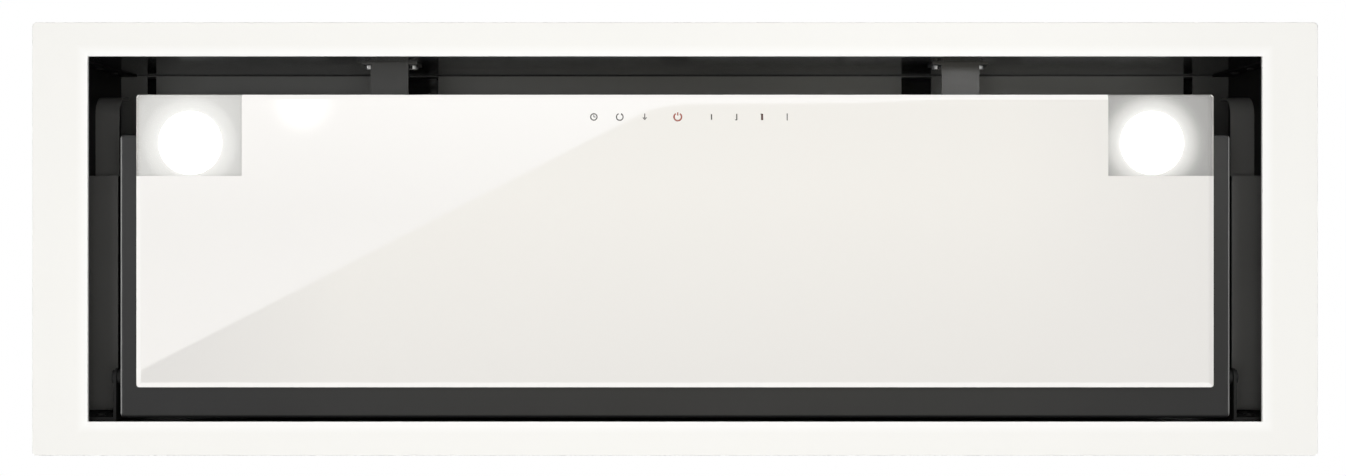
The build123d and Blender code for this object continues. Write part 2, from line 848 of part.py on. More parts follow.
# Impeller: a bladed wheel open at both ends, on the motor's shaft
with BuildPart() as impeller_wheel:
    half = impeller_width / 2
    blade_middle = impeller_radius - impeller_ring / 2
    with BuildSketch(across_x(-impeller_disc / 2, blower_y, blower_z)):
        Circle(impeller_radius)
    extrude(amount=impeller_disc)
    with BuildSketch(across_x(impeller_disc / 2, blower_y, blower_z)):
        Circle(impeller_hub_radius)
    extrude(amount=impeller_hub_length)
    with BuildSketch(across_x(-half, blower_y, blower_z)):
        with PolarLocations(blade_middle, blade_count):
            Rectangle(impeller_ring, blade_thickness)
    extrude(amount=impeller_width)
    for start in (-half, half - impeller_ring_width):
        with BuildSketch(across_x(start, blower_y, blower_z)):
            Circle(impeller_radius)
            Circle(impeller_radius - impeller_ring, mode=Mode.SUBTRACT)
        extrude(amount=impeller_ring_width)
    rod("x", (-half, half), (blower_y, blower_z), shaft_radius + running_clearance, Mode.SUBTRACT)
save(impeller_wheel, "impeller_wheel")

with BuildPart() as motor_shaft:
    shaft_end = impeller_disc / 2 + impeller_hub_length
    rod("x", (motor_rear - shaft_overhang, shaft_end), (blower_y, blower_z), shaft_radius)
save(motor_shaft, "motor_shaft")

# Control box on the roof, its lid, terminal block and cable gland
with BuildPart() as control_box:
    half_depth = box_depth / 2
    block((box_x, box_end), (-half_depth, half_depth), (roof_top, box_top))
    fillet(control_box.edges().filter_by(Axis.Z), box_corner)
    block(
        (box_x + box_wall, box_end - box_wall),
        (-half_depth + box_wall, half_depth - box_wall),
        (roof_top + box_wall, box_top),
        Mode.SUBTRACT,
    )
    half_post = post_size / 2
    for x, y in box_screws:
        block((x - half_post, x + half_post), (y - half_post, y + half_post), (roof_top, box_top))
    fastener_holes("z", (roof_top + box_wall, box_top), box_screws, screw_radius)
    gland_place = (0, roof_top + gland_z)
    gland_hole = gland_neck_radius + hole_clearance
    rod("x", (box_end - box_wall, box_end), gland_place, gland_hole, Mode.SUBTRACT)
save(control_box, "control_box")

with BuildPart() as control_box_lid:
    block((box_x, box_end), (-box_depth / 2, box_depth / 2), (box_top, box_top + lid_thickness))
    fillet(control_box_lid.edges().filter_by(Axis.Z), box_corner)
    fillet(control_box_lid.faces().sort_by(Axis.Z)[-1].edges(), lid_edge)
    fastener_holes("z", (box_top, box_top + lid_thickness), box_screws, screw_radius)
save(control_box_lid, "control_box_lid")

with BuildPart() as terminal_block:
    terminal_x = box_x + box_length / 2
    terminal_floor = roof_top + box_wall
    terminal_top = terminal_floor + terminal_height
    pole = terminal_length / terminal_poles
    block(
        (terminal_x - terminal_length / 2, terminal_x + terminal_length / 2),
        (-terminal_depth / 2, terminal_depth / 2),
        (terminal_floor, terminal_top),
    )
    for index in range(1, terminal_poles):
        groove_x = terminal_x - terminal_length / 2 + index * pole
        block(
            (groove_x - terminal_groove / 2, groove_x + terminal_groove / 2),
            (-terminal_depth / 2, terminal_depth / 2),
            (terminal_top - terminal_height / 3, terminal_top),
            Mode.SUBTRACT,
        )
save(terminal_block, "terminal_block")

with BuildPart() as cable_gland:
    gland_y, gland_height = 0, roof_top + gland_z
    with BuildSketch(across_x(box_end, gland_y, gland_height)):
        RegularPolygon(gland_hex / 2, 6, major_radius=False)
    extrude(amount=gland_hex_length)
    nut_start = box_end + gland_hex_length
    rod("x", (nut_start, nut_start + gland_nut_length), (gland_y, gland_height), gland_nut_radius)
    fillet(cable_gland.faces().sort_by(Axis.X)[-1].edges(), gland_nut_radius / 4)
    rod("x", (box_end - box_wall, box_end), (gland_y, gland_height), gland_neck_radius)
    rod(
        "x",
        (box_end - box_wall, nut_start + gland_nut_length),
        (gland_y, gland_height),
        gland_bore_radius,
        Mode.SUBTRACT,
    )
save(cable_gland, "cable_gland")

# Screws: catch straps, turret feet, outlet collar and control box lid
with BuildPart() as casing_screws:
    for x, z in catch_screws:
        seat = Plane(origin=(x, -wall_y + strap_thickness, z), x_dir=(1, 0, 0), z_dir=(0, 1, 0))
        pan_screw(seat, strap_thickness + sheet + screw_tail)
    for x, y in turret_screws:
        pan_screw(Plane((x, y, roof_top + sheet)), 2 * sheet + screw_tail)
    for x, y in collar_screws:
        seat = Plane((x, y, collar_z + collar_flange_thickness))
        pan_screw(seat, collar_flange_thickness + sheet + screw_tail)
    for x, y in box_screws:
        pan_screw(Plane((x, y, box_top + lid_thickness)), lid_thickness + lid_screw_grip)
save(casing_screws, "casing_screws")

# Hinged panel: the tray with its folded rim
with BuildPart() as panel_tray:
    with BuildSketch(Plane((0, (tray_front + tray_rear) / 2, tray_rise))):
        RectangleRounded(2 * tray_x, tray_depth, tray_corner)
    extrude(amount=tray_height)
    fillet(panel_tray.faces().sort_by(Axis.Z)[0].edges(), tray_bend)
    offset(amount=-tray_sheet, openings=panel_tray.faces().sort_by(Axis.Z)[-1])
    for name, side in sides:
        wall = (side * (tray_x - tray_sheet), side * tray_x)
        rod("x", wall, (hinge_y, hinge_z), pin_radius + hole_clearance, Mode.SUBTRACT)
save(panel_tray, "panel_tray")

with BuildPart() as hinge_pins:
    for name, side in sides:
        inside = tray_x - tray_sheet
        outside = lug_x + lug_thickness
        clip = outside + end_play
        centre = (hinge_y, hinge_z)
        rod("x", (side * (inside - pin_head_length), side * (clip + pin_clip_length)), centre, pin_radius)
        rod("x", (side * (inside - pin_head_length), side * inside), centre, pin_head_radius)
        rod("x", (side * tray_x, side * (lug_x - end_play)), centre, pin_head_radius)
        rod("x", (side * clip, side * (clip + pin_clip_length)), centre, pin_head_radius)
save(hinge_pins, "hinge_pins")

with BuildPart() as strike_plates:
    for name, side in sides:
        across = (side * catch_x - strike_width / 2, side * catch_x + strike_width / 2)
        block(across, (tray_front - sheet, tray_front), (tray_rise + tray_bend, strike_top))
        block(across, (tray_front - strike_reach, tray_front), (strike_top - sheet, strike_top))
save(strike_plates, "strike_plates")

# Glass with a wide bevel along its lower edges, and the pads that hold it under the tray
with BuildPart() as glass_panel:
    bevel_top = glass_bottom + bevel_height
    with BuildSketch(Plane((0, glass_centre_y, bevel_top))):
        RectangleRounded(2 * glass_x, glass_depth, glass_corner)
    extrude(amount=glass_thickness - bevel_height)
    with BuildSketch(Plane((0, glass_centre_y, bevel_top))):
        RectangleRounded(2 * glass_x, glass_depth, glass_corner)
    with BuildSketch(Plane((0, glass_centre_y, glass_bottom))):
        RectangleRounded(2 * (glass_x - bevel_width), glass_depth - 2 * bevel_width, glass_corner)
    loft()
save(glass_panel, "glass_panel")

with BuildPart() as glass_pads:
    pad_rows = (glass_front + lamp_plate_depth + pad_width, glass_rear - 2 * pad_width)
    with BuildSketch(Plane.XY.offset(glass_top)):
        with Locations(*[(place * (glass_x - pad_inset), row) for place in (-1, 0, 1) for row in pad_rows]):
            Rectangle(pad_length, pad_width)
    extrude(amount=pad_height)
save(glass_pads, "glass_pads")

# Lamps in the glass's front corners: plate, lens and slim housing
for name, side in sides:
    lamp_x = side * (glass_x - lamp_insets[name])
    lamp_y = glass_front + lamp_inset_y
    plate_edge = glass_x - lamp_plate_inset
    plate_front = glass_front + lamp_plate_inset
    plate_top = glass_top + lamp_plate_thickness

    with BuildPart() as lamp_plate:
        block(
            (side * plate_edge, side * (plate_edge - lamp_plate_length)),
            (plate_front, plate_front + lamp_plate_depth),
            (glass_top, plate_top),
        )
        rod("z", (glass_top, plate_top), (lamp_x, lamp_y), lens_radius + lens_clearance, Mode.SUBTRACT)
    save(lamp_plate, f"lamp_plate_{name}")

    with BuildPart() as lamp_lens:
        rod("z", (glass_top, glass_top + lens_thickness), (lamp_x, lamp_y), lens_radius)
    save(lamp_lens, f"lamp_lens_{name}")

with BuildPart() as lamp_housings:
    pocket = lens_radius + lens_clearance
    for name, side in sides:
        place = (side * (glass_x - lamp_insets[name]), lamp_y)
        rod("z", (plate_top, plate_top + housing_height), place, housing_radius)
        rod("z", (plate_top, glass_top + lens_thickness), place, pocket, Mode.SUBTRACT)
save(lamp_housings, "lamp_housings")

# Touch module on the glass's back, behind the printed keys
with BuildPart() as touch_module:
    block(
        (touch_centre_x - touch_length / 2, touch_centre_x + touch_length / 2),
        (glass_front + touch_front_inset, tray_front - touch_tray_gap),
        (glass_top, glass_top + touch_height),
    )
    fillet(touch_module.edges().filter_by(Axis.Z), touch_corner)
save(touch_module, "touch_module")
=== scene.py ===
"""Looks of a built-in range hood, seen from below: finishes, glass, printed keys, light and camera."""

import json
import math
from collections import namedtuple

import bmesh
import bpy
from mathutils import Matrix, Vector


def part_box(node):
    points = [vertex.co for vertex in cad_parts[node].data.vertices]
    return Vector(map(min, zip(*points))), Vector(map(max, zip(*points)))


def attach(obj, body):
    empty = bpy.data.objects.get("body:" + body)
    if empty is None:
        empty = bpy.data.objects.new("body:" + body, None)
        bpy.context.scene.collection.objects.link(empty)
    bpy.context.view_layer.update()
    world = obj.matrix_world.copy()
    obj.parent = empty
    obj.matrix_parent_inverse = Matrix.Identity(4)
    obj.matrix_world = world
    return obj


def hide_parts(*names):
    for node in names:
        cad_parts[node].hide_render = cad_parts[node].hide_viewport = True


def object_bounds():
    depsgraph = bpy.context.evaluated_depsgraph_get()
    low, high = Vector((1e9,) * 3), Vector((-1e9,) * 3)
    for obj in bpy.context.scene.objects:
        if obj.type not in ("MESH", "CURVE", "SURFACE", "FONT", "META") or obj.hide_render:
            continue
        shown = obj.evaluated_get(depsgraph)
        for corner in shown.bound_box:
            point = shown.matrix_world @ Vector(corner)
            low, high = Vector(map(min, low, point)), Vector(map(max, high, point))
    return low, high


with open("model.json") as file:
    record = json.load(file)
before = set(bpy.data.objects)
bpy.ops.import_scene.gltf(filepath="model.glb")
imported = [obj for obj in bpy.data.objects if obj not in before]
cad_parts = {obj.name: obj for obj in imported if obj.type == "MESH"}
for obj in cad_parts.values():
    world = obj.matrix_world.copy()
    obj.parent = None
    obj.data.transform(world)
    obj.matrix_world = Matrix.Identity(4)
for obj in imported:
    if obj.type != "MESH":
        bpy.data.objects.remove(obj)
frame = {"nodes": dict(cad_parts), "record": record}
nodes = frame["nodes"]
cad_low, cad_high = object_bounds()

MM = 0.001
WHITE = (1, 1, 1, 1)

# The photograph's frame, and the scale that it has at the trim's lower face
PHOTO_WIDTH = 1346
PHOTO_HEIGHT = 476
TRIM_CENTRE_PIXEL = (675, 239)
METRES_PER_PIXEL = 0.692 * MM

# Camera, straight below the trim
CAMERA_DISTANCE = 1.2
CAMERA_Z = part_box("trim_frame")[0].z - CAMERA_DISTANCE
CAMERA_REACH = 100
SENSOR_WIDTH = 36

# Glass: its bevel, its rounded corners, and the space between its back and the lamp plates
BEVEL_WIDTH = 3.4 * MM
BEVEL_HEIGHT = 1.2 * MM
GLASS_CORNER = 2 * MM
CORNER_STEPS = 8
GLASS_BACK_GAP = 0.05 * MM
GLASS_IOR = 1.52

# Clear front corners of the glass, and how far the rim around them reaches over the lamp plates
WINDOW_LENGTH = 73 * MM
WINDOW_DEPTH = 56 * MM
RIM_OVERLAP = 1.6 * MM

# Trim: its width at the ends and along the sides, and the painted highlight along the edge of its opening
TRIM_END_WIDTH = 38.5 * MM
TRIM_SIDE_WIDTH = 23.5 * MM
TRIM_HIGHLIGHT_WIDTH = 8 * MM
TRIM_HIGHLIGHT_COLOUR = (0.99, 0.985, 0.965, 1)

# Painted highlight: a pale line along the lower edges of the tray's ends
TRAY_HIGHLIGHT_WIDTH = 1.4 * MM
TRAY_HIGHLIGHT_COLOUR = (0.45, 0.45, 0.44, 1)

# Painted light and shade on the filter deck, as a tone along its length, from its left end to its right end
DECK_LIGHT_AND_SHADE = ((0, 1), (0.1, 0.72), (0.48, 0.5), (0.8, 1), (0.9, 1), (0.97, 0.6))

# Lamp plates: painted glow and shade from the lamp, as their grey at distances in millimetres from the
# lamp's centre
GLOW_START = 22 * MM
GLOW_END = 50 * MM
PLATE_TINT = (1, 0.995, 0.97)
LAMP_GLOW = {
    "left": ((22.5, 0.85), (25, 0.75), (28, 0.725), (31, 0.67), (34, 0.60), (48, 0.55)),
    "right": ((22.5, 0.80), (25, 0.66), (28, 0.58), (31, 0.46), (34, 0.345), (38, 0.29), (48, 0.275)),
}

# Strokes of a printed sign, in degrees and in millimetres from the key's centre. Towards the front is -Y.
Arc = namedtuple("Arc", "radius width start end")
Bar = namedtuple("Bar", "begin end width")
FULL_TURN = 360
ARC_STEPS = 40

# Touch keys printed on the glass in a row behind its front edge: place along X, ink and strokes of each sign
KEY_ROW_INSET = 15.4 * MM
PRINT_THICKNESS = 0.03 * MM
INK_COLOURS = {"grey": (0.05, 0.045, 0.045), "red": (0.28, 0.05, 0.03), "brown": (0.05, 0.012, 0.015)}
KEYS = {
    "key_clock": (-56.0 * MM, "grey", (
        Arc(2.2, 0.8, 0, FULL_TURN), Bar((0, 0.2), (0, -1.5), 0.6), Bar((0, 0), (1.2, 0), 0.6),
    )),
    "key_ring": (-38.1 * MM, "grey", (Arc(2.3, 0.78, -60, 250), Bar((1.2, -2.6), (1.2, -1.2), 0.6))),
    "key_lamp": (-20.9 * MM, "grey", (
        Bar((0, -2.4), (0, 1.0), 0.7), Bar((-1.3, 0.2), (0, 1.9), 0.55), Bar((1.3, 0.2), (0, 1.9), 0.55),
    )),
    "key_power": (1.9 * MM, "red", (Arc(2.6, 1.05, -60, 240), Bar((0, -3.2), (0, -1.0), 0.95))),
    "key_speed_1": (25.2 * MM, "grey", (Bar((0, -2.0), (0, 2.0), 0.85),)),
    "key_speed_2": (42.3 * MM, "grey", (
        Bar((0.3, -2.2), (0.3, 2.2), 0.85), Bar((-0.9, 2.0), (0.4, 2.0), 0.6),
    )),
    "key_speed_3": (59.9 * MM, "brown", (
        Bar((0.2, -2.2), (0.2, 2.2), 1.5), Bar((-0.9, -2.0), (0.4, -2.0), 0.7),
    )),
    "key_speed_4": (77.4 * MM, "grey", (Bar((0, -2.4), (0, 2.4), 0.7),)),
}

# Floor and world: their light on surfaces, and how bright they are where they are seen
FLOOR_Z = -4.2
FLOOR_SIZE = 120
FLOOR_LIFT = 0.55
WORLD_LIGHT = 0.38
WORLD_SEEN = 1.0

# Glowing cards that only reflections see, in layers below the glass, whose lower face is the part's lowest
CARD_Z = -1.26
LAYER = 0.004
GLASS_MIRROR_Z = cad_low.z

# Broad glow, by the photograph's pixels: two corners, (row, strength) pairs, and columns where its ends fade
BROAD_GLOW_CORNERS = ((138, 80), (1275, 395))
BROAD_GLOW_ROWS = ((190, 2.7), (385, 1.1))
BROAD_GLOW_LEFT_FADE = (165, 345)
BROAD_GLOW_RIGHT_FADE = (1010, 1275)
BROAD_GLOW_COLOUR = (1, 0.955, 0.78, 1)

# Pale card, by the photograph's pixels: start of its slanting edge, the bend after it, and other corners
PALE_CARD_START = (134, 375)
PALE_CARD_BEND = ((640, 115.5), (660, 105.25), (700, 105))
PALE_CARD_CORNERS = ((860, 104), (1110, 94), (1110, 88), (134, 88))
PALE_CARD_ROWS = ((95, 4.9), (215, 3.2))
BEND_STEPS = 8

# Soft lamp, by the photograph's pixel at its centre
SOFT_LAMP_PIXEL = (305, 104)
SOFT_LAMP_REACH = 0.048
SOFT_LAMP_CORE = 0.35
SOFT_LAMP_STRENGTH = 9

# Strips that bent edges mirror as bright lines, and a card that the recess mirrors: corners and strength
PLAIN_CARDS = {
    "left_strip": ((-3.6, -0.6), (-2.78, 0.6), 40),
    "right_strip": ((2.78, -0.6), (3.6, 0.6), 16),
    "front_strip": ((-1.2, -1.55), (1.2, -1.1), 5.4),
    "rear_strip": ((-1.2, 1.1), (1.2, 1.55), 5),
    "left_edge_strip": ((-2.6, -0.6), (-1.9, 0.6), 5),
    "recess_right": ((0.3, -0.36), (0.55, -0.21), 34),
}

# Lamps: place, target, size in metres and power in watts
LAMPS = {
    "low_key": ((-0.45, 0.1, -2.6), (0, 0, 0), 0.6, 24),
    "low_fill": ((0.45, 0.1, -2.6), (0, 0, 0), 0.6, 19),
    "top_key": ((-1.6, -2.2, 2.6), (0, 0, 0.2), 1.8, 62),
    "top_fill": ((2.2, 1.8, 2.0), (0, 0, 0.2), 2.0, 32),
}


def between(a, b, share):
    """A number at a share of the way from one to another."""
    return a + (b - a) * share


def grey(level):
    """A colour without a tint."""
    return (level, level, level)


def tinted(colour, factor):
    """A colour made darker or lighter."""
    return tuple(min(1, channel * factor) for channel in colour)


# Node helpers


def new_material(name):
    """A material, its node tree and its Principled shader."""
    material = bpy.data.materials.new(name)
    material.use_nodes = True
    tree = material.node_tree
    return material, tree, tree.nodes["Principled BSDF"]


def add_node(tree, kind, **settings):
    """A new node with its settings."""
    node = tree.nodes.new(kind)
    for key, value in settings.items():
        setattr(node, key, value)
    return node


def feed(tree, node, inputs):
    """Links a node's inputs to other nodes' outputs, or sets plain values on them."""
    for name, value in inputs.items():
        if isinstance(value, bpy.types.NodeSocket):
            tree.links.new(value, node.inputs[name])
        else:
            node.inputs[name].default_value = value


def coordinates(tree):
    """The object's own coordinates, in metres."""
    return add_node(tree, "ShaderNodeTexCoord").outputs["Object"]


def axes(tree):
    """The object's own X, Y and Z, in metres."""
    split = add_node(tree, "ShaderNodeSeparateXYZ")
    feed(tree, split, {"Vector": coordinates(tree)})
    return split.outputs


def places(tree, scale=(1, 1, 1), turn=(0, 0, 0), shift=(0, 0, 0)):
    """The object's own coordinates, scaled, turned and shifted."""
    mapping = add_node(tree, "ShaderNodeMapping")
    feed(tree, mapping, {
        "Vector": coordinates(tree), "Scale": scale, "Rotation": turn, "Location": shift,
    })
    return mapping.outputs["Vector"]


def noise(tree, vector, scale, detail, roughness=0.5):
    """A noise between 0 and 1."""
    node = add_node(tree, "ShaderNodeTexNoise")
    feed(tree, node, {"Vector": vector, "Scale": scale, "Detail": detail, "Roughness": roughness})
    return node.outputs["Fac"]


def ramp(tree, value, *stops):
    """A colour ramp through (position, colour) stops."""
    node = add_node(tree, "ShaderNodeValToRGB")
    elements = node.color_ramp.elements
    while len(elements) < len(stops):
        elements.new(0.5)
    for element, (position, colour) in zip(elements, stops):
        element.position = position
        element.color = (*colour, 1)
    feed(tree, node, {"Fac": value})
    return node.outputs["Color"]


def spread(tree, value, low, high, from_low=0.15, from_high=0.85):
    """A value mapped to a new range."""
    node = add_node(tree, "ShaderNodeMapRange")
    feed(tree, node, {
        "Value": value, "From Min": from_low, "From Max": from_high, "To Min": low, "To Max": high,
    })
    return node.outputs["Result"]


def calculate(tree, operation, *values):
    """A Math node over other nodes' outputs and plain numbers."""
    node = add_node(tree, "ShaderNodeMath", operation=operation)
    feed(tree, node, dict(enumerate(values)))
    return node.outputs["Value"]


def bump(tree, shader, height, strength, distance):
    """A fine relief on the shader's surface."""
    node = add_node(tree, "ShaderNodeBump")
    feed(tree, node, {"Height": height, "Strength": strength, "Distance": distance})
    feed(tree, shader, {"Normal": node.outputs["Normal"]})


def paint_over(material, share, colour, mode="MIX"):
    """Blends a colour, by a share, over the base colour that a material has."""
    tree = material.node_tree
    shader = tree.nodes["Principled BSDF"]
    blend = add_node(tree, "ShaderNodeMix", data_type="RGBA", blend_type=mode)
    below = shader.inputs["Base Color"].links[0].from_socket
    feed(tree, blend, {"Factor": share, "A": below, "B": colour})
    feed(tree, shader, {"Base Color": blend.outputs["Result"]})


# Finishes


def coated(name, colour, roughness, grain, grain_depth, contrast=0.08, gloss=0.5):
    """Powder coat or paint: a fine orange-peel grain, and slow changes of tone and gloss."""
    material, tree, shader = new_material(name)
    here = places(tree)
    slow = noise(tree, here, scale=9, detail=3)
    fine = noise(tree, here, scale=grain, detail=2)
    tone = ramp(tree, slow, (0.15, tinted(colour, 1 - contrast)), (0.85, tinted(colour, 1 + contrast)))
    feed(tree, shader, {
        "Base Color": tone,
        "Roughness": spread(tree, slow, roughness - 0.05, roughness + 0.05),
        "Specular IOR Level": gloss,
    })
    bump(tree, shader, fine, strength=0.35, distance=grain_depth)
    return material


def tray_coat():
    """The tray's satin coat, with a painted highlight as a pale line along the lower edges of its two ends.
    """
    material = coated(
        "grey_tray_coat", (0.0095, 0.0096, 0.0098), roughness=0.3, grain=1300, grain_depth=0.1 * MM,
        gloss=0.3,
    )
    tree = material.node_tree
    low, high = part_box("panel_tray")
    place = axes(tree)
    outward = calculate(tree, "ABSOLUTE", place["X"])
    near_end = spread(tree, outward, 0, 1, high.x - TRAY_HIGHLIGHT_WIDTH, high.x - TRAY_HIGHLIGHT_WIDTH / 3)
    near_bottom = spread(tree, place["Z"], 1, 0, low.z + TRAY_HIGHLIGHT_WIDTH, low.z + 2 * TRAY_HIGHLIGHT_WIDTH)
    # Painted highlight: a pale line where the tray's ends meet its bottom
    paint_over(material, calculate(tree, "MULTIPLY", near_end, near_bottom), TRAY_HIGHLIGHT_COLOUR)
    return material


def deck_coat():
    """The filter deck's coat, with painted light and shade that change unevenly along its length."""
    material = coated(
        "grey_deck_coat", (0.072, 0.072, 0.069), roughness=0.4, grain=1200, grain_depth=0.2 * MM,
        contrast=0.1, gloss=0.4,
    )
    tree = material.node_tree
    low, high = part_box("filter_deck")
    along = spread(tree, axes(tree)["X"], 0, 1, low.x, high.x)
    # Painted light and shade along the deck's length
    deck_painted_shade = ramp(tree, along, *((place, grey(tone)) for place, tone in DECK_LIGHT_AND_SHADE))
    paint_over(material, 1, deck_painted_shade, "MULTIPLY")
    return material


def trim_coat():
    """White powder coat, with a painted highlight that makes it whitest along the edge of the opening."""
    material = coated(
        "white_powder_coat", (0.918, 0.908, 0.875), roughness=0.38, grain=1300, grain_depth=0.1 * MM,
        contrast=0.006, gloss=0.1,
    )
    tree = material.node_tree
    _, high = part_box("trim_frame")
    opening = (("X", high.x - TRIM_END_WIDTH), ("Y", high.y - TRIM_SIDE_WIDTH))
    place = axes(tree)
    beyond = [
        calculate(tree, "SUBTRACT", calculate(tree, "ABSOLUTE", place[axis]), half) for axis, half in opening
    ]
    away = calculate(tree, "MAXIMUM", *beyond)
    # Painted highlight, brightest at the edge of the opening
    paint_over(material, spread(tree, away, 1, 0, 0, TRIM_HIGHLIGHT_WIDTH), TRIM_HIGHLIGHT_COLOUR)
    return material


def galvanised():
    """Galvanised sheet: large flat spangles, each with its own grey and gloss."""
    material, tree, shader = new_material("galvanised_sheet")
    here = places(tree)
    spangles = add_node(tree, "ShaderNodeTexVoronoi", feature="F1")
    feed(tree, spangles, {"Vector": here, "Scale": 85, "Randomness": 1})
    shade = spangles.outputs["Color"]
    tone = ramp(
        tree, shade,
        (0.1, (0.46, 0.48, 0.49)), (0.5, (0.53, 0.55, 0.56)), (0.9, (0.60, 0.62, 0.63)),
    )
    feed(tree, shader, {
        "Base Color": tone,
        "Metallic": 1,
        "Roughness": spread(tree, shade, 0.36, 0.48, 0.1, 0.9),
    })
    stains = ramp(tree, noise(tree, here, scale=14, detail=4), (0.3, (0.82, 0.83, 0.85)), (0.7, grey(1)))
    paint_over(material, 0.35, stains, "MULTIPLY")
    bump(tree, shader, noise(tree, here, scale=240, detail=3), strength=0.12, distance=0.2 * MM)
    return material


def plated(name, colour, roughness):
    """Zinc-plated or bright steel: fine rolling marks and a little cloudiness."""
    material, tree, shader = new_material(name)
    cloudy = noise(tree, places(tree), scale=60, detail=4)
    marks = noise(tree, places(tree, (30, 900, 900)), scale=1, detail=3)
    feed(tree, shader, {
        "Base Color": ramp(tree, cloudy, (0.3, tinted(colour, 0.86)), (0.7, tinted(colour, 1.06))),
        "Metallic": 1,
        "Roughness": spread(tree, cloudy, roughness - 0.06, roughness + 0.08),
    })
    bump(tree, shader, marks, strength=0.12, distance=0.1 * MM)
    return material


def brushed_aluminium():
    """Bare aluminium with lines along its length."""
    material, tree, shader = new_material("brushed_aluminium")
    lines = noise(tree, places(tree, (25, 1400, 1400)), scale=1, detail=4, roughness=0.6)
    feed(tree, shader, {
        "Base Color": ramp(tree, lines, (0.25, (0.66, 0.67, 0.68)), (0.75, (0.82, 0.83, 0.84))),
        "Metallic": 1,
        "Roughness": spread(tree, lines, 0.26, 0.42),
    })
    bump(tree, shader, lines, strength=0.15, distance=0.1 * MM)
    return material


def filter_mesh_metal():
    """Layers of expanded aluminium mesh: crossing diagonal strands with dark gaps between them."""
    material, tree, shader = new_material("expanded_mesh")
    heights = []
    for angle in (math.radians(58), math.radians(-58)):
        wave = add_node(
            tree, "ShaderNodeTexWave", wave_type="BANDS", bands_direction="X", wave_profile="SIN",
        )
        feed(tree, wave, {
            "Vector": places(tree, turn=(0, 0, angle)), "Scale": 62, "Distortion": 0.6, "Detail Scale": 2,
        })
        heights.append(wave.outputs["Fac"])
    strands = calculate(tree, "MAXIMUM", *heights)
    tone = ramp(
        tree, strands,
        (0.55, (0.10, 0.10, 0.105)), (0.78, (0.50, 0.51, 0.52)), (0.97, (0.80, 0.81, 0.82)),
    )
    feed(tree, shader, {"Base Color": tone, "Metallic": 0.85, "Roughness": 0.38})
    bump(tree, shader, strands, strength=0.9, distance=1.6 * MM)
    return material


def moulded(name, colour, roughness):
    """Moulded plastic: a fine spark-eroded grain."""
    material, tree, shader = new_material(name)
    here = places(tree)
    grain = noise(tree, here, scale=1600, detail=2)
    slow = noise(tree, here, scale=22, detail=2)
    feed(tree, shader, {
        "Base Color": ramp(tree, slow, (0.3, tinted(colour, 0.92)), (0.7, tinted(colour, 1.08))),
        "Roughness": spread(tree, grain, roughness - 0.07, roughness + 0.07),
    })
    bump(tree, shader, grain, strength=0.3, distance=0.2 * MM)
    return material


def white_glass():
    """Glass printed white on its back: a hard gloss over a very even white."""
    material, tree, shader = new_material("white_glass")
    slow = noise(tree, places(tree), scale=2.2, detail=1)
    feed(tree, shader, {
        "Base Color": ramp(tree, slow, (0.2, (0.787, 0.769, 0.743)), (0.8, (0.801, 0.783, 0.757))),
        "Roughness": spread(tree, slow, 0.015, 0.03),
        "IOR": GLASS_IOR,
    })
    return material


def clear_glass():
    """The unprinted corners of the glass, with a faint tint."""
    material, tree, shader = new_material("clear_glass")
    slow = noise(tree, places(tree), scale=6, detail=1)
    feed(tree, shader, {
        "Base Color": ramp(tree, slow, (0.3, (0.92, 0.92, 0.90)), (0.7, (0.95, 0.95, 0.93))),
        "Roughness": spread(tree, slow, 0.01, 0.03),
        "IOR": GLASS_IOR,
        "Alpha": 0.05,
    })
    return material


def lamp_plate(side):
    """Satin silver reflector plate, with the lamp's glow and shade painted on it: brightest around the lens,
    darker towards its outer edge.
    """
    material, tree, shader = new_material(f"lamp_plate_{side}")
    low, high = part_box(f"lamp_lens_{side}")
    # Painted glow and shade of the lamp, by distance from the lens
    away = add_node(tree, "ShaderNodeVectorMath", operation="DISTANCE")
    feed(tree, away, {0: coordinates(tree), 1: (low + high) / 2})
    radius = spread(tree, away.outputs["Value"], 0, 1, GLOW_START, GLOW_END)
    stops = [
        ((reach * MM - GLOW_START) / (GLOW_END - GLOW_START), tinted(PLATE_TINT, level))
        for reach, level in LAMP_GLOW[side]
    ]
    feed(tree, shader, {"Base Color": ramp(tree, radius, *stops), "Metallic": 0.1, "Roughness": 0.45})
    lines = noise(tree, places(tree, (40, 1500, 1500)), scale=1, detail=2)
    bump(tree, shader, lines, strength=0.05, distance=0.1 * MM)
    return material


def lit_lens():
    """Opal lens, lit from behind."""
    material, tree, shader = new_material("lit_lens")
    dots = noise(tree, places(tree), scale=500, detail=1)
    tone = ramp(tree, dots, (0.3, (0.95, 0.95, 0.93)), (0.7, (1, 1, 0.99)))
    feed(tree, shader, {
        "Base Color": tone, "Emission Color": tone, "Emission Strength": 2.5, "Roughness": 0.3,
    })
    return material


def key_print(name, colour):
    """Screen-printed ink on the glass."""
    material, tree, shader = new_material(name)
    specks = noise(tree, places(tree), scale=2500, detail=1)
    tone = ramp(tree, specks, (0.3, tinted(colour, 0.85)), (0.7, tinted(colour, 1.1)))
    feed(tree, shader, {"Base Color": tone, "Roughness": 0.25})
    return material


black_coat = coated(
    "black_gloss_coat", grey(0.012), roughness=0.16, grain=700, grain_depth=0.005 * MM, contrast=0.12,
)
black_matt = coated(
    "black_matt_coat", grey(0.006), roughness=0.6, grain=900, grain_depth=0.1 * MM, contrast=0.2, gloss=0.15,
)
liner_coat = coated(
    "grey_liner_coat", (0.097, 0.096, 0.092), roughness=0.4, grain=1200, grain_depth=0.2 * MM, contrast=0.1,
)
strap_coat = coated(
    "grey_strap_coat", (0.0115, 0.0115, 0.011), roughness=0.36, grain=1300, grain_depth=0.2 * MM, gloss=0.36,
)
bright_steel = plated("bright_steel", grey(0.72), roughness=0.2)
mesh_metal = filter_mesh_metal()
glass_white = white_glass()
glass_clear = clear_glass()
plate_finish = {side: lamp_plate(side) for side in LAMP_GLOW}
inks = {name: key_print(f"ink_{name}", colour) for name, colour in INK_COLOURS.items()}

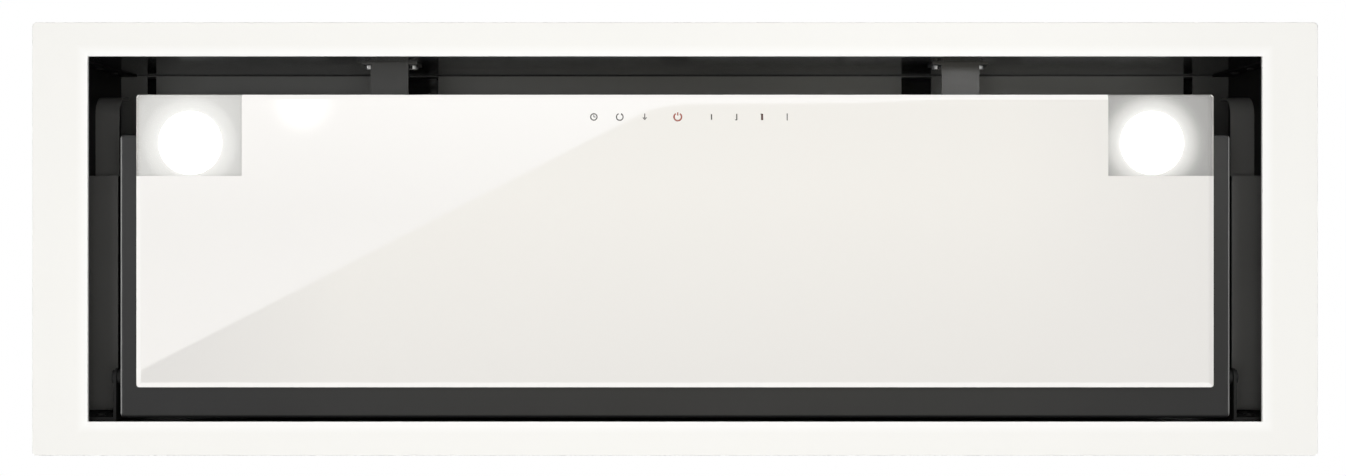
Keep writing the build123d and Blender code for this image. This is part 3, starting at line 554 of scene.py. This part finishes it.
SLOT_FINISH = {
    "white_trim": trim_coat(),
    "black_coat": black_coat,
    "black_steel": black_matt,
    "grey_coat": tray_coat(),
    "zinc_sheet": galvanised(),
    "zinc_plate": plated("zinc_plate", (0.50, 0.50, 0.49), roughness=0.36),
    "bright_steel": bright_steel,
    "aluminium": brushed_aluminium(),
    "white_glass": glass_white,
    "lens": lit_lens(),
    "black_plastic": moulded("black_plastic", (0.028, 0.028, 0.030), roughness=0.45),
    "grey_plastic": moulded("grey_plastic", (0.28, 0.29, 0.30), roughness=0.5),
    "white_plastic": moulded("white_plastic", (0.78, 0.78, 0.75), roughness=0.42),
    "rubber": moulded("rubber", grey(0.022), roughness=0.75),
    "magnet": moulded("ferrite", (0.05, 0.05, 0.055), roughness=0.6),
}

# Nodes whose finish isn't that of their slot
OWN_FINISH = {
    "filter_deck": deck_coat(),
    "filter_rails": liner_coat,
    "side_baffles": liner_coat,
    "catch_bracket_left": strap_coat,
    "catch_bracket_right": strap_coat,
    "casing_left": black_matt,
    "casing_right": black_matt,
    "casing_screws": bright_steel,
    "filter_mesh_left": mesh_metal,
    "filter_mesh_middle": mesh_metal,
    "filter_mesh_right": mesh_metal,
    "lamp_plate_left": plate_finish["left"],
    "lamp_plate_right": plate_finish["right"],
}


def finish_nodes():
    """Give each CAD node its own finish, or that of its slot."""
    for subpart in frame["record"]["subparts"]:
        name = subpart["node"]
        materials = nodes[name].data.materials
        materials.clear()
        materials.append(OWN_FINISH.get(name) or SLOT_FINISH[subpart["material_slot"]])


# Pieces


def new_object(name, data):
    """An object in the scene."""
    made = bpy.data.objects.new(name, data)
    bpy.context.scene.collection.objects.link(made)
    return made


def new_piece(name, shape, body, materials):
    """A Blender piece that rides on a CAD body."""
    mesh = bpy.data.meshes.new(name)
    shape.to_mesh(mesh)
    shape.free()
    for material in materials:
        mesh.materials.append(material)
    piece = new_object(name, mesh)
    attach(piece, body)
    return piece


# Glass pane: cells in columns along X and rows along Y, with a rim of narrow ones at its ends and front

PANE_COLUMNS = 5
PANE_ROWS = 3
MIDDLE_COLUMN = 2
WINDOW_ROWS = 2
PANE_FINISHES = (glass_white, glass_clear, plate_finish["left"], plate_finish["right"])
PRINTED, CLEAR, PLATE_LEFT, PLATE_RIGHT = range(len(PANE_FINISHES))


def front_finish(column, row):
    """Clear in the two front corners, and printed white elsewhere."""
    return CLEAR if column != MIDDLE_COLUMN and row < WINDOW_ROWS else PRINTED


def back_finish(column, row):
    """As in front, but the rim of a clear corner has the lamp plate's finish, up to the pane's edge."""
    in_rim = column in (0, PANE_COLUMNS - 1) or row == 0
    if in_rim and front_finish(column, row) == CLEAR:
        return PLATE_LEFT if column < MIDDLE_COLUMN else PLATE_RIGHT
    return front_finish(column, row)


def pane_grids(shape):
    """Points of the pane's front, of the upper end of its bevel and of its back, in rows along X."""
    low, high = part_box("glass_panel")
    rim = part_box("lamp_plate_left")[0].x - low.x + RIM_OVERLAP
    window_xs = (low.x + WINDOW_LENGTH, high.x - WINDOW_LENGTH)
    window_y = low.y + WINDOW_DEPTH
    grids = []
    for z, inset in ((low.z, BEVEL_WIDTH), (low.z + BEVEL_HEIGHT, 0), (high.z - GLASS_BACK_GAP, 0)):
        left, right, front = low.x + inset, high.x - inset, low.y + inset
        xs = (left, left + rim, *window_xs, right - rim, right)
        ys = (front, front + rim, window_y, high.y - inset)
        grids.append([[shape.verts.new((x, y, z)) for x in xs] for y in ys])
    return grids


def pane_border():
    """Each edge of the pane's outline: its two (row, column) points, and the (column, row) cell there."""
    for column in range(PANE_COLUMNS):
        for row in (0, PANE_ROWS):
            yield (row, column), (row, column + 1), (column, min(row, PANE_ROWS - 1))
    for row in range(PANE_ROWS):
        for column in (0, PANE_COLUMNS):
            yield (row, column), (row + 1, column), (min(column, PANE_COLUMNS - 1), row)


def glass_pane():
    """One bevelled pane with rounded corners, printed white except in its two front corners."""
    shape = bmesh.new()
    front_grid, edge_grid, back_grid = pane_grids(shape)

    def add_face(corners, finish):
        shape.faces.new(corners).material_index = finish

    for row in range(PANE_ROWS):
        for column in range(PANE_COLUMNS):
            for grid, finish in ((front_grid, front_finish), (back_grid, back_finish)):
                near, far = grid[row], grid[row + 1]
                corners = (near[column], near[column + 1], far[column + 1], far[column])
                add_face(corners, finish(column, row))
    for lower, upper in ((front_grid, edge_grid), (edge_grid, back_grid)):
        for (row, column), (next_row, next_column), cell in pane_border():
            corners = (
                lower[row][column], lower[next_row][next_column],
                upper[next_row][next_column], upper[row][column],
            )
            add_face(corners, front_finish(*cell) if lower is front_grid else PRINTED)
    bmesh.ops.recalc_face_normals(shape, faces=shape.faces)
    corner_edges = [
        shape.edges.get((edge_grid[row][column], back_grid[row][column]))
        for row in (0, PANE_ROWS) for column in (0, PANE_COLUMNS)
    ]
    bmesh.ops.bevel(
        shape, geom=corner_edges, offset=GLASS_CORNER, segments=CORNER_STEPS, profile=0.5, affect="EDGES",
    )
    pane = new_piece("glass_pane", shape, "panel", PANE_FINISHES)
    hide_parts("glass_panel")


# Touch keys: thin marks printed on the glass's lower face


def add_arc(shape, centre, arc, z_low, z_high):
    """A whole ring, or part of a ring with closed ends."""
    whole = arc.end - arc.start == FULL_TURN
    count = ARC_STEPS if whole else ARC_STEPS + 1
    inner = (arc.radius - arc.width / 2) * MM
    outer = (arc.radius + arc.width / 2) * MM
    section = ((inner, z_low), (outer, z_low), (outer, z_high), (inner, z_high))
    sections = []
    for step in range(count):
        angle = math.radians(between(arc.start, arc.end, step / ARC_STEPS))
        x, y = math.cos(angle), math.sin(angle)
        sections.append([
            shape.verts.new((centre[0] + reach * x, centre[1] + reach * y, z)) for reach, z in section
        ])
    for index in range(ARC_STEPS):
        here, after = sections[index], sections[(index + 1) % count]
        for corner in range(len(section)):
            beside = (corner + 1) % len(section)
            shape.faces.new((here[corner], after[corner], after[beside], here[beside]))
    if not whole:
        shape.faces.new(sections[0])
        shape.faces.new(sections[-1])


def add_bar(shape, centre, bar, z_low, z_high):
    """A straight stroke between two points."""
    begin, end = (
        Vector((centre[0] + x * MM, centre[1] + y * MM)) for x, y in (bar.begin, bar.end)
    )
    along = end - begin
    side = Vector((-along.y, along.x)).normalized() * bar.width * MM / 2
    outline = (begin + side, end + side, end - side, begin - side)
    lower = [shape.verts.new((x, y, z_low)) for x, y in outline]
    upper = [shape.verts.new((x, y, z_high)) for x, y in outline]
    shape.faces.new(lower)
    shape.faces.new(list(reversed(upper)))
    for index in range(len(outline)):
        after = (index + 1) % len(outline)
        shape.faces.new((lower[index], upper[index], upper[after], lower[after]))


def touch_keys():
    """One printed piece for each key, with a generic sign made of arcs and bars."""
    low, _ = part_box("glass_panel")
    row_y = low.y + KEY_ROW_INSET
    for name, (x, ink, strokes) in KEYS.items():
        shape = bmesh.new()
        for stroke in strokes:
            add_stroke = add_arc if isinstance(stroke, Arc) else add_bar
            add_stroke(shape, (x, row_y), stroke, low.z - PRINT_THICKNESS, low.z)
        bmesh.ops.recalc_face_normals(shape, faces=shape.faces)
        new_piece(name, shape, "panel", (inks[ink],))


# Stage: camera, floor, world, reflections and lights


def photo_point(pixel):
    """A photograph's pixel as X and Y in the trim's plane."""
    return tuple((place - centre) * METRES_PER_PIXEL for place, centre in zip(pixel, TRIM_CENTRE_PIXEL))


def make_camera():
    """A camera that looks straight up, framed like the photograph."""
    data = bpy.data.cameras.new("camera")
    data.sensor_width = SENSOR_WIDTH
    data.lens = SENSOR_WIDTH * CAMERA_DISTANCE / (PHOTO_WIDTH * METRES_PER_PIXEL)
    data.clip_end = CAMERA_REACH
    camera = new_object("camera", data)
    camera.location = (*photo_point((PHOTO_WIDTH / 2, PHOTO_HEIGHT / 2)), CAMERA_Z)
    camera.rotation_euler = (math.pi, 0, 0)
    bpy.context.scene.camera = camera


def rectangle(low, high):
    """The four corners of a rectangle between two opposite ones."""
    return (low, (high[0], low[1]), high, (low[0], high[1]))


def flat_piece(name, outline, height, material):
    """A flat piece of the stage."""
    mesh = bpy.data.meshes.new(name)
    mesh.from_pydata([(x, y, height) for x, y in outline], [], [tuple(range(len(outline)))])
    mesh.materials.append(material)
    return new_object(name, mesh)


def seen_rays(tree):
    """1 for what is seen, directly, in a reflection or through glass, and 0 for light on surfaces."""
    rays = add_node(tree, "ShaderNodeLightPath").outputs
    seen = calculate(tree, "MAXIMUM", rays["Is Camera Ray"], rays["Is Glossy Ray"])
    return calculate(tree, "MAXIMUM", seen, rays["Is Transmission Ray"])


def make_floor():
    """A wide white floor, brighter where it is seen than in the light that it gives."""
    paint = coated(
        "floor_paint", (0.90, 0.90, 0.895), roughness=0.6, grain=300, grain_depth=0.2 * MM,
        contrast=0.01, gloss=0,
    )
    tree = paint.node_tree
    feed(tree, tree.nodes["Principled BSDF"], {
        "Emission Color": WHITE,
        "Emission Strength": spread(tree, seen_rays(tree), 0, FLOOR_LIFT, 0, 1),
    })
    half = FLOOR_SIZE / 2
    floor = flat_piece("floor", rectangle((-half, -half), (half, half)), FLOOR_Z, paint)


def make_world():
    """White to the camera and in reflections, and a softer even light on surfaces."""
    world = bpy.data.worlds.new("studio")
    bpy.context.scene.world = world
    world.use_nodes = True
    tree = world.node_tree
    feed(tree, tree.nodes["Background"], {
        "Color": WHITE,
        "Strength": spread(tree, seen_rays(tree), WORLD_LIGHT, WORLD_SEEN, 0, 1),
    })


def mirrored(pixel):
    """The place on the cards' plane that the glass mirrors at a photograph's pixel."""
    down = GLASS_MIRROR_Z - CAMERA_Z
    growth = (down + GLASS_MIRROR_Z - CARD_Z) / down
    return tuple(place * growth for place in photo_point(pixel))


def mirrored_column(column):
    """X on the cards' plane that the glass mirrors at a photograph's column."""
    return mirrored((column, 0))[0]


def mirrored_row(row):
    """Y on the cards' plane that the glass mirrors at a photograph's row."""
    return mirrored((0, row))[1]


def glossy_only(piece):
    """Seen in reflections alone, so it neither lights the object nor hides it."""
    piece.visible_camera = False
    piece.visible_diffuse = False
    piece.visible_shadow = False
    piece.visible_volume_scatter = False


def card(name, outline, height=CARD_Z, colour=WHITE):
    """A flat glowing card under the hood. Gives its tree, its emission and the mix that lets it fade out."""
    material = bpy.data.materials.new(name)
    material.use_nodes = True
    tree = material.node_tree
    tree.nodes.clear()
    glow = add_node(tree, "ShaderNodeEmission")
    feed(tree, glow, {"Color": colour})
    clear = add_node(tree, "ShaderNodeBsdfTransparent")
    mix = add_node(tree, "ShaderNodeMixShader")
    feed(tree, mix, {"Fac": 1, 1: clear.outputs["BSDF"], 2: glow.outputs["Emission"]})
    output = add_node(tree, "ShaderNodeOutputMaterial")
    feed(tree, output, {"Surface": mix.outputs["Shader"]})
    piece = flat_piece(name, outline, height, material)
    glossy_only(piece)
    return tree, glow, mix


def plain_card(name, low, high, strength):
    """A rectangular card that glows evenly."""
    tree, glow, _ = card(name, rectangle(low, high))
    feed(tree, glow, {"Strength": strength})


def strength_by_row(tree, rows):
    """A strength that changes along Y between two (row, strength) pairs."""
    (near, near_strength), (far, far_strength) = rows
    return spread(tree, axes(tree)["Y"], near_strength, far_strength, mirrored_row(near), mirrored_row(far))


def broad_glow():
    """A warm card below the others, which is dark at its left end and fades out at its right end."""
    outline = rectangle(*map(mirrored, BROAD_GLOW_CORNERS))
    tree, glow, mix = card("broad_glow", outline, CARD_Z - LAYER, BROAD_GLOW_COLOUR)
    x = axes(tree)["X"]
    left_fade = spread(tree, x, 0, 1, *map(mirrored_column, BROAD_GLOW_LEFT_FADE))
    strength = calculate(tree, "MULTIPLY", strength_by_row(tree, BROAD_GLOW_ROWS), left_fade)
    feed(tree, glow, {"Strength": strength})
    feed(tree, mix, {"Fac": spread(tree, x, 1, 0, *map(mirrored_column, BROAD_GLOW_RIGHT_FADE))})


def bend(start, corner, end):
    """Points along the parabola that rounds a corner."""
    points = []
    for step in range(BEND_STEPS + 1):
        share = step / BEND_STEPS
        points.append(tuple(
            between(between(a, b, share), between(b, c, share), share) for a, b, c in zip(start, corner, end)
        ))
    return points


def pale_card():
    """A card with a slanting edge, which is strongest at its front."""
    pixels = (PALE_CARD_START, *bend(*PALE_CARD_BEND), *PALE_CARD_CORNERS)
    tree, glow, _ = card("pale_card", [mirrored(pixel) for pixel in pixels])
    feed(tree, glow, {"Strength": strength_by_row(tree, PALE_CARD_ROWS)})


def soft_lamp():
    """A round card above the others, which fades out from its core to its reach."""
    x, y = mirrored(SOFT_LAMP_PIXEL)
    reach = SOFT_LAMP_REACH
    outline = rectangle((x - reach, y - reach), (x + reach, y + reach))
    tree, glow, mix = card("soft_lamp", outline, CARD_Z + LAYER)
    away = add_node(tree, "ShaderNodeVectorMath", operation="LENGTH")
    feed(tree, away, {0: places(tree, scale=(1 / reach, 1 / reach, 0), shift=(-x / reach, -y / reach, 0))})
    feed(tree, glow, {"Strength": SOFT_LAMP_STRENGTH})
    feed(tree, mix, {"Fac": spread(tree, away.outputs["Value"], 1, 0, SOFT_LAMP_CORE, 1)})


def make_reflections():
    """What the glass and the bent edges mirror."""
    broad_glow()
    pale_card()
    soft_lamp()
    for name, (low, high, strength) in PLAIN_CARDS.items():
        plain_card(name, low, high, strength)


def area_light(name, place, target, size, power):
    """A round lamp that reflections don't see."""
    data = bpy.data.lights.new(name, "AREA")
    data.shape = "DISK"
    data.size = size
    data.energy = power
    light = new_object(name, data)
    light.location = place
    light.rotation_euler = (Vector(target) - Vector(place)).to_track_quat("-Z", "Y").to_euler()
    light.visible_glossy = False


def make_lights():
    """Two lamps below the hood and two above it."""
    for name, (place, target, size, power) in LAMPS.items():
        area_light(name, place, target, size, power)


def main():
    """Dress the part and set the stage."""
    finish_nodes()
    glass_pane()
    touch_keys()
    make_camera()
    make_floor()
    make_world()
    make_reflections()
    make_lights()
    bpy.context.scene.view_settings.view_transform = "Standard"


main()
